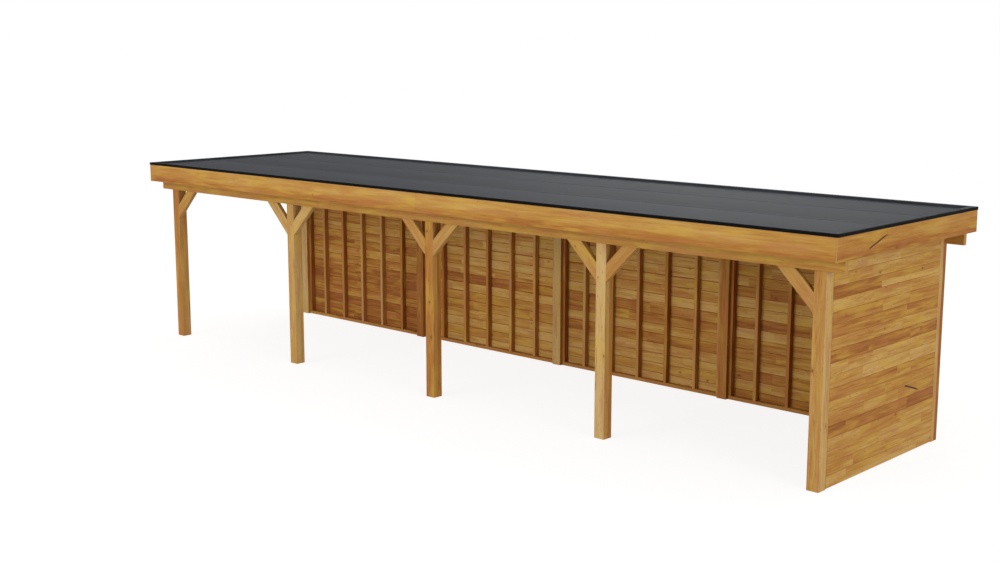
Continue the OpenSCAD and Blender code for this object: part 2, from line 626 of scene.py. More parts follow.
class Bench:
    """Where pieces are modelled: one mesh at a time, in edit mode, at its final place."""

    def __init__(self, seed: int) -> None:
        """Starts the bench with its own run of random numbers."""
        self.chance = random.Random(seed)

    def begin(self, name: str) -> bpy.types.Object:
        """Opens an empty mesh for editing, with its object at the origin.

        Args:
            name: The piece's name.

        Returns:
            The piece, in edit mode.
        """
        bpy.ops.object.select_all(action="DESELECT")
        bpy.ops.mesh.primitive_cube_add(size=1.0)
        piece = bpy.context.object
        piece.name = piece.data.name = name
        bpy.ops.object.mode_set(mode="EDIT")
        bpy.ops.mesh.select_all(action="SELECT")
        bpy.ops.mesh.delete(type="VERT")
        return piece

    def box(self, low: Sequence[float], high: Sequence[float], turn: Triple = (0.0, 0.0, 0.0)) -> None:
        """Adds a box to the open mesh, left selected.

        Args:
            low: Its lowest corner before it is turned.
            high: Its highest corner.
            turn: Turn about its own middle, in radians.
        """
        low, high = Vector(low), Vector(high)
        bpy.ops.mesh.primitive_cube_add(size=1.0, location=(low + high) / 2, rotation=turn, scale=high - low)

    @staticmethod
    def close(piece: bpy.types.Object) -> bpy.types.Object:
        """Ends editing."""
        bpy.ops.object.mode_set(mode="OBJECT")
        return piece

    @staticmethod
    def pick(piece: bpy.types.Object, faces: Callable = None, edges: Callable = None) -> int:
        """Selects the faces or edges of the open mesh that a test accepts.

        Args:
            piece: The piece being edited.
            faces: Test of one face.
            edges: Test of one edge.

        Returns:
            How many were selected.
        """
        bpy.ops.mesh.select_mode(type="FACE" if faces else "EDGE")
        bpy.ops.mesh.select_all(action="DESELECT")
        shape = bmesh.from_edit_mesh(piece.data)
        chosen = [f for f in shape.faces if faces(f)] if faces else [e for e in shape.edges if edges(e)]
        for element in chosen:
            element.select_set(True)
        shape.select_flush_mode()
        bmesh.update_edit_mesh(piece.data)
        return len(chosen)

    def ease_edges(self, piece: bpy.types.Object, width: float, segments: int = 1) -> None:
        """Takes the sharp corners off every edge of the open mesh."""
        self.pick(piece, edges=lambda e: e.is_manifold and e.calc_face_angle(0.0) > 0.5)
        bpy.ops.mesh.bevel(offset=width, segments=segments, affect="EDGES", clamp_overlap=True)

    @staticmethod
    def cut(point: Sequence[float], normal: Sequence[float]) -> None:
        """Saws the open mesh at a plane and throws away the side that the normal points to.

        Args:
            point: A point on the plane.
            normal: The plane's normal.
        """
        bpy.ops.mesh.select_mode(type="VERT")
        bpy.ops.mesh.select_all(action="SELECT")
        bpy.ops.mesh.bisect(plane_co=point, plane_no=normal, use_fill=True, clear_outer=True)

    @staticmethod
    def score(point: Sequence[float], normal: Sequence[float]) -> None:
        """Draws an edge round the open mesh at a plane.

        Args:
            point: A point on the plane.
            normal: The plane's normal.
        """
        bpy.ops.mesh.select_mode(type="VERT")
        bpy.ops.mesh.select_all(action="SELECT")
        bpy.ops.mesh.bisect(plane_co=point, plane_no=normal)

    def write_marks(
        self,
        piece: bpy.types.Object,
        axis: Callable[[bpy.types.MeshPolygon], Vector],
        tone: Callable[[bpy.types.MeshPolygon, Vector], float],
        key: Callable[[bpy.types.MeshPolygon], int] = lambda face: 0,
        heart: Callable[[bpy.types.MeshPolygon], Vector] = lambda face: Vector(),
        soft: bool = False,
    ) -> None:
        """Writes what the timber finish reads on each face.

        Args:
            piece: The finished piece, not being edited.
            axis: The way of the grain at a face.
            tone: The tone of a face at a point.
            key: The number of the stick that a face belongs to.
            heart: A point on the tree's middle.
            soft: Whether the tone runs smoothly from corner to corner of a face.
        """
        seeds: dict[int, float] = {}
        rows = {"cut": [], "axis": [], "heart": [], "side": []}
        mesh = piece.data
        for face in mesh.polygons:
            seed = seeds.setdefault(key(face), self.chance.random())
            way = axis(face)
            is_end = 1.0 if abs(face.normal.dot(way)) > 0.95 else 0.0
            points = [mesh.vertices[v].co for v in face.vertices] if soft else [face.center]
            for point in points:
                rows["cut"] += [tone(face, point), seed, is_end]
                rows["axis"] += list(way)
                rows["heart"] += list(heart(face))
                rows["side"] += list(way.cross(face.normal))
        for name, values in rows.items():
            layer = mesh.attributes.new(name, "FLOAT_VECTOR", "CORNER" if soft else "FACE")
            layer.data.foreach_set("vector", values)

    def sticks(
        self,
        name: str,
        parts: Sequence[Stick],
        ease: float,
        which: Optional[Callable] = None,
        heart: float = 0.09,
        shade: Callable = lambda face: 0.0,
        edge_dust_and_shade: float = 0.0,
    ) -> bpy.types.Object:
        """Models a set of sawn blocks as one mesh.

        Args:
            name: The piece's name.
            parts: The blocks.
            ease: How much is taken off the edges.
            which: Test of the edges to take off; every edge if left out.
            heart: How far the tree's middle lies from a block's own middle.
            shade: How much darker a face is than its block.
            edge_dust_and_shade: How much darker the eased edges are than their block.

        Returns:
            The piece.
        """
        piece = self.begin(name)
        for part in parts:
            self.box(part.low, part.high)
        self.close(piece)
        hearts = []
        for part in parts:
            turn = self.chance.uniform(0.0, math.tau)
            reach = heart * self.chance.uniform(0.4, 1.6)
            away = Vector((math.cos(turn), math.sin(turn), 0.0)) * reach
            if part.axis is Axis.X:
                away = Vector((0.0, away.x, away.y))
            elif part.axis is Axis.Y:
                away = Vector((away.x, 0.0, away.y))
            hearts.append(part.middle + away)
        self.write_marks(
            piece,
            axis=lambda f: Vector(parts[f.index // 6].axis.value),
            tone=lambda f, point: parts[f.index // 6].tone + shade(f),
            key=lambda f: f.index // 6,
            heart=lambda f: hearts[f.index // 6],
        )
        bpy.ops.object.mode_set(mode="EDIT")
        if which is None:
            self.ease_edges(piece, ease)
        elif self.pick(piece, edges=which):
            bpy.ops.mesh.bevel(offset=ease, segments=1, affect="EDGES", clamp_overlap=True)
        self.close(piece)
        # Darker eased edges: dust and painted shade in the grooves between boards.
        if edge_dust_and_shade:
            self._tone_edges(piece, edge_dust_and_shade)
        return piece

    @staticmethod
    def _tone_edges(piece: bpy.types.Object, change: float) -> None:
        """Changes the tone of the slanting faces that easing left: dust and painted shade in the grooves.

        Args:
            piece: The piece, not being edited.
            change: What is added to their tone.
        """
        for face, mark in zip(piece.data.polygons, piece.data.attributes["cut"].data):
            if max(abs(part) for part in face.normal) < 0.95:
                mark.vector.x += change


def settle(
    piece: bpy.types.Object, finish: Union[Timber, RoofSheet, CoatedMetal], slot: str, *nodes: str
) -> None:
    """Dresses a piece, lets it ride, and hides the CAD nodes that it stands for.

    Args:
        piece: The finished piece.
        finish: What it is made of.
        slot: The record's material slot; not used.
        nodes: The CAD nodes that it replaces.
    """
    piece.data.materials.clear()
    piece.data.materials.append(finish.material())
    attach(piece, "root")
    if nodes:
        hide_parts(*nodes)
    LOG.info("%s: %d faces for %s", piece.name, len(piece.data.polygons), ", ".join(nodes) or "no node")


def span(node: str) -> tuple[Vector, Vector]:
    """The lowest and highest corner of a CAD node."""
    low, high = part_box(node)
    return Vector(low), Vector(high)


def post_grid() -> tuple[float, float]:
    """Where the posts stand along the veranda.

    Returns:
        The middle of the first post, and the step from post to post.
    """
    low, high = span("front_post_1")
    return (low.x + high.x) / 2, span("front_post_2")[0].x - low.x


# ---------------------------------------------------------------------------------------------
# The frame of posts, beams and braces
# ---------------------------------------------------------------------------------------------

POST_TIMBER = Timber(
    "post_timber", pale=tint(206, 172, 114), gold=tint(187, 142, 74), checks=0.55, streak=0.95
)
BEAM_TIMBER = Timber("beam_timber", checks=0.4, streak=0.8)
STUD_TIMBER = Timber(
    "stud_timber", pale=tint(198, 152, 96), gold=tint(184, 130, 72), roughness=0.74, relief=0.7 * MM
)
BOARD_TIMBER = Timber("board_timber", streak=1.75, flecks=0.75)
SIDE_TIMBER = Timber(
    "side_board_timber", streak=1.5, flecks=0.8, split=Split((5.59, 0.45, 0.79), (5.59, 0.81, 0.68))
)
FASCIA_TIMBER = Timber("fascia_timber", streak=1.05)
FASCIA_END_TIMBER = Timber(
    "fascia_end_timber", streak=1.25, split=Split((5.82, -0.92, 2.46), (5.82, -0.5, 2.585), 11 * MM)
)
ROOF_TIMBER = Timber("roof_timber", roughness=0.76, relief=0.7 * MM)


@dataclass
class PostFrame:
    """Ten laminated posts, two beams and eight braces."""

    bench: Bench
    ease: float = 2.5 * MM
    front_tones: tuple[float, ...] = (0.62, 0.3, 0.64, 0.04, 0.42)
    side_tones: tuple[tuple[float, float], ...] = (
        (0.28, 0.34), (0.06, 0.16), (0.5, 0.72), (0.24, 0.5), (0.08, 0.14)
    )
    back_tones: tuple[float, ...] = (0.02, 0.86, 0.12, 0.66, 0.44)
    back_side_tones: tuple[tuple[float, float], ...] = (
        (0.4, 0.5), (0.7, 0.8), (0.5, 0.6), (0.8, 0.9), (0.2, 0.92)
    )
    beam_tones: tuple[float, float] = (0.5, 0.44)
    beam_gap: float = 0.8 * MM
    brace_width: float = 145 * MM

    def build(self) -> None:
        """Models and dresses the posts, the beams and the braces."""
        for number in range(1, 6):
            look = (self.front_tones[number - 1], self.side_tones[number - 1])
            self._post(f"front_post_{number}", -1, *look)
            look = (self.back_tones[number - 1], self.back_side_tones[number - 1])
            self._post(f"back_post_{number}", 1, *look)
        for node in ("front_beam", "back_beam"):
            self._beam(node)
        for post in range(1, 6):
            if post < 5:
                self._brace(post, 1)
            if post > 1:
                self._brace(post, -1)

    def _post(self, node: str, outward: int, face_tone: float, side_tones: tuple[float, float]) -> None:
        """Models a post: a square foot with a narrower head behind the beam.

        Args:
            node: The CAD node.
            outward: The way its notch faces along Y: -1 in the front row, 1 in the back row.
            face_tone: Tone of the faces towards front and back.
            side_tones: Tones of the front and the rear lamella on the side faces.
        """
        low, high = span(node)
        beam_low, beam_high = span("front_beam" if outward < 0 else "back_beam")
        seat = beam_low.z
        step_y = beam_high.y if outward < 0 else beam_low.y
        joint_y = (low.y + high.y) / 2
        piece = self.bench.begin(f"{node}_timber")
        self.bench.box(low, (high.x, high.y, seat))
        self.bench.score((0.0, step_y, 0.0), (0.0, 1.0, 0.0))
        self.bench.pick(
            piece,
            faces=lambda f: f.normal.z > 0.9 and outward * (f.calc_center_median().y - step_y) < 0,
        )
        bpy.ops.mesh.extrude_region_move(TRANSFORM_OT_translate={"value": (0.0, 0.0, high.z - seat)})
        self.bench.score((0.0, joint_y, 0.0), (0.0, 1.0, 0.0))
        self.bench.ease_edges(piece, self.ease, 2)
        self.bench.close(piece)
        heart = Vector((low.x - 0.05 * outward, joint_y + 0.11, 0.0))

        def tone(face: bpy.types.MeshPolygon, point: Vector) -> float:
            """Faces to the front and back show one tone, the sides a lamella each."""
            side_tone = side_tones[0] if face.center.y < joint_y else side_tones[1]
            return face_tone if abs(face.normal.y) > 0.6 else side_tone

        self.bench.write_marks(
            piece,
            axis=lambda f: Vector(Axis.Z.value),
            tone=tone,
            key=lambda f: int(f.center.y > joint_y),
            heart=lambda f: heart,
        )
        settle(piece, POST_TIMBER, "post_wood", node)

    def _beam(self, node: str) -> None:
        """Models a beam in two lengths that meet over the middle post.

        Args:
            node: The CAD node.
        """
        low, high = span(node)
        sticks = [
            Stick(tuple(low), (-self.beam_gap / 2, high.y, high.z), Axis.X, self.beam_tones[0]),
            Stick((self.beam_gap / 2, low.y, low.z), tuple(high), Axis.X, self.beam_tones[1]),
        ]
        piece = self.bench.sticks(f"{node}_timber", sticks, self.ease)
        settle(piece, BEAM_TIMBER, "beam_wood", node)

    def _brace(self, post: int, way: int) -> None:
        """Models a brace: a board set at 45 degrees and sawn to the post and to a level head.

        Args:
            post: The number of its post.
            way: 1 to the right of the post, -1 to the left.
        """
        node = f"brace_{post}_{'right' if way > 0 else 'left'}"
        low, high = span(node)
        foot_x = low.x if way > 0 else high.x
        reach, width = high.z - low.z, self.brace_width
        rise = width / math.sqrt(2)
        middle = Vector((foot_x + way * (reach - rise) / 2, 0.0, low.z + (reach + rise) / 2))
        half = Vector((reach, 0.0, width / 2))
        piece = self.bench.begin(f"{node}_timber")
        self.bench.box(
            (middle.x - half.x, low.y, middle.z - half.z),
            (middle.x + half.x, high.y, middle.z + half.z),
            (0.0, -way * math.pi / 4, 0.0),
        )
        self.bench.cut((foot_x, 0.0, 0.0), (-way, 0.0, 0.0))
        self.bench.cut((0.0, 0.0, high.z), (0.0, 0.0, 1.0))
        self.bench.ease_edges(piece, self.ease)
        self.bench.close(piece)
        tone = self.bench.chance.uniform(0.2, 0.44)
        axis = Vector((way, 0.0, 1.0)).normalized()
        self.bench.write_marks(
            piece,
            axis=lambda f: axis,
            tone=lambda f, point: tone,
            heart=lambda f: Vector((middle.x, low.y - 0.06, middle.z + 0.05)),
        )
        settle(piece, POST_TIMBER, "brace_wood", node)


# ---------------------------------------------------------------------------------------------
# The boarded walls
# ---------------------------------------------------------------------------------------------


class RowTone(Enum):
    """The tone of a row of wall boards. A string of rows names each by its first letter."""

    LIGHT = 0.16
    GOLD = 0.32
    MIDDLE = 0.46
    AMBER = 0.62
    RUSSET = 0.76
    DARK = 1.0

    @classmethod
    def of(cls, letter: str) -> float:
        """The tone that a letter stands for."""
        return next(tone.value for tone in cls if tone.name.lower().startswith(letter))


@dataclass
class WallPanel:
    """A framed panel with horizontal boards outside its studs.

    The panel lies along one axis of the plan. Rows count from the ground up, and every row is made
    of staves, some of them split along their middle. An accent is a row, a place along the panel
    where a new stave starts, and its change of tone. Stud tones go by number: 0 and 1 are the studs
    at the two ends, and 2 is the first one between them.
    """

    bench: Bench
    frame_node: str
    boards_node: str
    run: Axis
    finish: Timber
    rows: str = ""
    row_mix: str = "lllgggmar"
    stud_width: float = 45 * MM
    # Tone added to the studs' side faces: painted shade.
    painted_side_shade: float = 0.42
    stud_tones: dict[int, float] = field(default_factory=lambda: {0: 0.86})
    stud_mix: tuple[float, ...] = (0.05, 0.2, 0.3, 0.4, 0.56)
    stud_pitch: float = 460 * MM
    open_joints: tuple[int, ...] = ()
    accents: tuple[tuple[int, float, float], ...] = ()
    board_height: float = 130 * MM
    joint: float = 0.8 * MM
    open_joint: float = 6 * MM
    tongue: float = 6 * MM
    groove: float = 2 * MM
    # How much darker the joints' bevelled faces are: dust and painted shade in the grooves.
    groove_dust_and_shade: float = 0.5
    end_gap: float = 3 * MM
    tongue_tone: float = 0.9
    split_share: float = 0.3

    def build(self) -> None:
        """Models and dresses the frame and its boards."""
        self._frame()
        self._boards()

    @staticmethod
    def inner_studs(length: float) -> int:
        """How many studs stand on each side of the middle one in a panel of this length."""
        return int((length / 2 - 1.5 * WallPanel.stud_width) / WallPanel.stud_pitch)

    def _place(self, along: float, through: float, z: float) -> Triple:
        """A point from its distance along the panel, its distance through it, and its height."""
        return (along, through, z) if self.run is Axis.X else (through, along, z)

    def _ends(self, node: str) -> tuple[float, float, float, float, float, float]:
        """A node's extents along the panel, through it and in height.

        Args:
            node: The CAD node.

        Returns:
            Start and end along the panel, through it, and in height.
        """
        low, high = span(node)
        if self.run is Axis.X:
            return low.x, high.x, low.y, high.y, low.z, high.z
        return low.y, high.y, low.x, high.x, low.z, high.z

    def _frame(self) -> None:
        """Models the plates and the studs between them."""
        a0, a1, t0, t1, z0, z1 = self._ends(self.frame_node)
        wide, chance = self.stud_width, self.bench.chance
        sticks = [
            Stick(self._place(a0, t0, z0), self._place(a1, t1, z0 + wide), self.run, 0.5),
            Stick(self._place(a0, t0, z1 - wide), self._place(a1, t1, z1), self.run, 0.5),
        ]
        middle = (a0 + a1) / 2
        count = self.inner_studs(a1 - a0)
        starts = [a0, a1 - wide]
        starts += [middle + k * self.stud_pitch - wide / 2 for k in range(-count, count + 1)]
        for number, start in enumerate(starts):
            drawn = chance.choice(self.stud_mix)
            tone = self.stud_tones.get(number, drawn)
            sticks.append(
                Stick(
                    self._place(start, t0, z0 + wide),
                    self._place(start + wide, t1, z1 - wide),
                    Axis.Z,
                    tone + chance.uniform(-0.06, 0.06),
                )
            )
        across = Vector(self._place(1.0, 0.0, 0.0))
        # The studs' faces across the panel, their sides, get painted shade on top of their own tone.
        piece = self.bench.sticks(
            f"{self.frame_node}_timber", sticks, 2 * MM, heart=0.05,
            shade=lambda f: self.painted_side_shade if abs(f.normal.dot(across)) > 0.9 else 0.0,
        )
        settle(piece, STUD_TIMBER, "frame_wood", self.frame_node)

    def _staves(self, row: int, tone: float, start: float, end: float) -> list[tuple[float, float, float]]:
        """Splits a row into staves of uneven length.

        Args:
            row: The number of the row, from the ground up.
            tone: The row's tone.
            start: Where the row starts.
            end: Where it ends.

        Returns:
            Start, end and tone of every stave, none very short.
        """
        accents = [(at, change) for number, at, change in self.accents if number == row]
        cuts = [start]
        at = start + self.bench.chance.uniform(0.2, 1.2)
        while at < end - 0.25 and not accents:
            cuts.append(at)
            at += self.bench.chance.uniform(0.45, 1.4)
        cuts += [at for at, _ in accents] + [end]
        changes = [0.0] + [change for _, change in accents] if accents else [0.0] * len(cuts)
        return [
            (a, b, tone + change + self.bench.chance.gauss(0.0, 0.075))
            for a, b, change in zip(cuts[:-1], cuts[1:], changes)
        ]

    def _boards(self) -> None:
        """Models the boards as staves with a grooved joint and a tongue behind each joint."""
        a0, a1, t0, t1, z0, z1 = self._ends(self.boards_node)
        count = round((z1 - z0) / self.board_height)
        pitch = (z1 - z0) / count
        sticks, lips, chance = [], [], self.bench.chance
        start, end = a0 + self.end_gap, a1 - self.end_gap
        for row in range(count):
            under, over = (self.open_joint if r in self.open_joints else self.joint for r in (row, row + 1))
            foot = z0 + row * pitch + (under / 2 if row else 0.0)
            head = z0 + (row + 1) * pitch - (over / 2 if row < count - 1 else 0.0)
            lips += [foot, head]
            tone = RowTone.of(self.rows[row] if self.rows else chance.choice(self.row_mix))
            layers = [(foot, head)]
            if chance.random() < self.split_share:
                layers = [(foot, (foot + head) / 2), ((foot + head) / 2, head)]
            for low_z, high_z in layers:
                for near, far, shade in self._staves(row, tone + chance.gauss(0.0, 0.02), start, end):
                    sticks.append(
                        Stick(self._place(near, t0, low_z), self._place(far, t1, high_z), self.run, shade)
                    )
            if row:
                mid, level = (t0 + t1) / 2, z0 + row * pitch
                sticks.append(
                    Stick(
                        self._place(start, mid - self.tongue / 2, level - self.tongue),
                        self._place(end, mid + self.tongue / 2, level + self.tongue),
                        self.run,
                        self.tongue_tone,
                    )
                )
        way = Vector(self.run.value)

        def is_lip(edge: bmesh.types.BMEdge) -> bool:
            """Edges along the joints between boards.

            Args:
                edge: The edge.

            Returns:
                Whether it runs along a joint.
            """
            one, two = (v.co for v in edge.verts)
            flat = abs((two - one).normalized().dot(way)) > 0.99
            return flat and any(abs(one.z - lip) < HAIR for lip in lips)

        piece = self.bench.sticks(
            f"{self.boards_node}_timber", sticks, self.groove, is_lip, 0.07, edge_dust_and_shade=self.groove_dust_and_shade
        )
        settle(piece, self.finish, "board_wood", self.boards_node)


# ---------------------------------------------------------------------------------------------
# The roof
# ---------------------------------------------------------------------------------------------


@dataclass
class Roof:
    """Joists, roof boards, fascia, sheet and edge trim."""

    bench: Bench
    joist_width: float = 45 * MM
    joist_step_max: float = 600 * MM
    deck_board: float = 121 * MM
    fascia_blend: tuple[float, float] = (2.445, 2.5)
    fascia_tones: tuple[float, float] = (0.36, 0.7)
    fascia_end_tones: tuple[float, float] = (0.46, 0.74)
    seams: tuple[float, ...] = (-0.4, 0.6)
    lap: float = 70 * MM
    trim_thickness: float = 4 * MM
    trim_edge: float = 14 * MM
    sheet: float = 1.5 * MM
    trim_length: float = 2.91
    strip_tones: tuple[float, float, float] = (0.02, -0.1, 0.06)

    def build(self) -> None:
        """Models and dresses the roof from the joists up."""
        self._joists()
        self._deck()
        for side in Side:
            self._fascia(side)
            self._kerb(side)
            self._trim(side)
        self._sheet()

    def _joists(self) -> None:
        """Models one joist over each post, even steps between, and one at each end."""
        low, high = span("roof_joists")
        first, bay = post_grid()
        steps = math.ceil(bay / self.joist_step_max)
        starts = [first + k * bay / steps - self.joist_width / 2 for k in range(4 * steps + 1)]
        starts += [low.x, high.x - self.joist_width]
        chance = self.bench.chance
        sticks = []
        for x in starts:
            far = (x + self.joist_width, high.y, high.z)
            sticks.append(Stick((x, low.y, low.z), far, Axis.Y, chance.uniform(0.3, 0.8)))
        piece = self.bench.sticks("roof_joists_timber", sticks, 2 * MM)
        settle(piece, ROOF_TIMBER, "roof_wood", "roof_joists")

    def _deck(self) -> None:
        """Models the roof boards, laid along the roof in staggered lengths."""
        low, high = span("roof_deck")
        count = round((high.y - low.y) / self.deck_board)
        pitch = (high.y - low.y) / count
        sticks, chance = [], self.bench.chance
        for row in range(count):
            near, far = (low.y + (row + k) * pitch + gap for k, gap in ((0, 0.5 * MM), (1, -0.5 * MM)))
            start = low.x
            while start < high.x - HAIR:
                end = start + chance.uniform(2.4, 4.4)
                end = high.x if end > high.x - 0.8 else end
                tone = chance.uniform(0.15, 0.9)
                sticks.append(Stick((start, near, low.z), (end, far, high.z), Axis.X, tone))
                start = end

        def is_lower_edge(edge: bmesh.types.BMEdge) -> bool:
            """Edges along the boards on their underside."""
            one, two = (v.co for v in edge.verts)
            return abs((two - one).normalized().x) > 0.99 and one.z < low.z + HAIR

        piece = self.bench.sticks("roof_deck_timber", sticks, 2 * MM, is_lower_edge)
        settle(piece, ROOF_TIMBER, "roof_wood", "roof_deck")

    def _fascia(self, side: Side) -> None:
        """Models the fascia of one side, paler above and more amber along its foot.

        Args:
            side: The side of the roof.
        """
        node = f"fascia_{side.value}"
        low, high = span(node)
        flat = side.long
        piece = self.bench.begin(f"{node}_timber")
        middle = (low.x + high.x) / 2
        if flat:
            self.bench.box(low, (middle - 0.3 * MM, high.y, high.z))
            self.bench.box((middle + 0.3 * MM, low.y, low.z), high)
        else:
            self.bench.box(low, high)
        for level in self.fascia_blend:
            self.bench.score((0.0, 0.0, level), (0.0, 0.0, 1.0))
        self.bench.ease_edges(piece, 1.5 * MM)
        self.bench.close(piece)
        way = Vector((Axis.X if flat else Axis.Y).value)
        pale, amber = self.fascia_tones if flat else self.fascia_end_tones
        foot, head = self.fascia_blend

        def tone(face: bpy.types.MeshPolygon, point: Vector) -> float:
            """The foot's tone, running into the paler one above."""
            share = min(1.0, max(0.0, (point.z - foot) / (head - foot)))
            return amber + (pale - amber) * share

        self.bench.write_marks(
            piece,
            axis=lambda f: way,
            tone=tone,
            key=lambda f: int(flat and f.center.x > middle),
            heart=lambda f: Vector((low.x, low.y, high.z + 0.07)),
            soft=True,
        )
        settle(piece, FASCIA_END_TIMBER if side is Side.RIGHT else FASCIA_TIMBER, "fascia_wood", node)

    def _kerb(self, side: Side) -> None:
        """Models the raised strip under the trim.

        Args:
            side: The side of the roof.
        """
        node = f"kerb_{side.value}"
        low, high = span(node)
        run = Axis.X if side.long else Axis.Y
        piece = self.bench.sticks(f"{node}_timber", [Stick(tuple(low), tuple(high), run, 0.5)], 1.5 * MM)
        settle(piece, ROOF_TIMBER, "roof_wood", node)

    def _fold(
        self, name: str, side: Side, edges: tuple[float, float], top: float, thin: float,
        legs: Sequence[tuple[bool, float]], count: int,
    ) -> bpy.types.Object:
        """Models a strip folded over the roof's edge, mitred at both corners.

        Args:
            name: The piece's name.
            side: The side of the roof.
            edges: How far its flat part starts and ends from the outer face of the edge trim.
            top: Height of its upper face.
            thin: Its thickness.
            legs: For each leg, whether it is the outer one, and the height of its foot.
            count: The number of lengths.

        Returns:
            The piece.
        """
        low, high = span(f"edge_trim_{side.value}")
        flat, first = side.long, side in (Side.FRONT, Side.LEFT)
        a0, a1 = (low.x, high.x) if flat else (low.y, high.y)
        outer = (low.y if first else high.y) if flat else (low.x if first else high.x)
        inward = 1.0 if first else -1.0
        near, far = (outer + inward * edge for edge in edges)

        def spot(along: float, through: float, z: float) -> Triple:
            """A point from its distance along the edge and through it."""
            return (along, through, z) if flat else (through, along, z)

        step = (a1 - a0) / count
        piece = self.bench.begin(name)
        for k in range(count):
            start = a0 + k * step + (0.75 * MM if k else 0.0)
            end = a0 + (k + 1) * step - (0.75 * MM if k < count - 1 else 0.0)
            self.bench.box(spot(start, min(near, far), top - thin), spot(end, max(near, far), top))
        through = (0.0, 1.0, 0.0) if flat else (1.0, 0.0, 0.0)
        for is_outer, foot in legs:
            fold = near + inward * thin if is_outer else far - inward * thin
            edge = near if is_outer else far
            self.bench.score(spot(0.0, fold, 0.0), through)
            self.bench.pick(
                piece,
                faces=lambda f: f.normal.z < -0.9
                and min(fold, edge) < f.calc_center_median()[1 if flat else 0] < max(fold, edge),
            )
            bpy.ops.mesh.extrude_region_move(TRANSFORM_OT_translate={"value": (0.0, 0.0, foot - top + thin)})
        for corner, way in ((a0, -1.0), (a1, 1.0)):
            self.bench.cut(spot(corner, outer, 0.0), spot(way, inward, 0.0))
        self.bench.ease_edges(piece, thin * 0.15)
        return self.bench.close(piece)

    def _trim(self, side: Side) -> None:
        """Models the folded metal trim of one side, in lengths with a fine gap, and its sheet cover.

        Args:
            side: The side of the roof.
        """
        node = f"edge_trim_{side.value}"
        low, high = span(node)
        sheet_top = span("roof_membrane")[1].z
        length, wide = (high - low).xy if side.long else (high - low).yx
        legs = [(True, low.z), (False, sheet_top)]
        count = max(1, round(length / self.trim_length))
        piece = self._fold(f"{node}_metal", side, (0.0, wide), high.z, self.trim_thickness, legs, count)
        settle(piece, TRIM_METAL, "edge_trim", node)

        cover = self._fold(
            f"roof_sheet_edge_{side.value}", side, (self.trim_edge, wide + self.sheet), high.z + self.sheet,
            self.sheet, [(False, sheet_top)], 1,
        )
        self.bench.write_marks(cover, axis=lambda f: Vector(Axis.X.value), tone=lambda f, point: -0.05)
        settle(cover, RoofSheet(), "membrane")

    def _sheet(self) -> None:
        """Models the roof sheet as strips along the roof that lap over each other."""
        low, high = span("roof_membrane")
        edges = [low.y, *self.seams, high.y]
        chance = self.bench.chance
        sticks = []
        for k, (near, far) in enumerate(zip(edges[:-1], edges[1:])):
            tone = self.strip_tones[k % len(self.strip_tones)]
            sticks.append(Stick((low.x, near, low.z), (high.x, far, high.z), Axis.X, tone))
        for seam in self.seams:
            sticks.append(
                Stick(
                    (low.x, seam - self.lap, high.z),
                    (high.x, seam, high.z + self.sheet),
                    Axis.X,
                    chance.uniform(-0.1, 0.0),
                )
            )
        piece = self.bench.sticks("roof_sheet_strips", sticks, 0.4 * MM)
        settle(piece, RoofSheet(), "membrane", "roof_membrane")


TRIM_METAL = CoatedMetal("trim_metal", tint(8, 8, 9), tint(20, 20, 21), shine=0.04, roughness=0.6)
SCREW_METAL = CoatedMetal("screw_metal", tint(146, 116, 76), tint(176, 150, 110), 0.7, roughness=0.5)
BOLT_METAL = CoatedMetal("bolt_metal", tint(150, 152, 154), tint(196, 198, 200), 0.9, roughness=0.42)


# ---------------------------------------------------------------------------------------------
# The fixings
# ---------------------------------------------------------------------------------------------


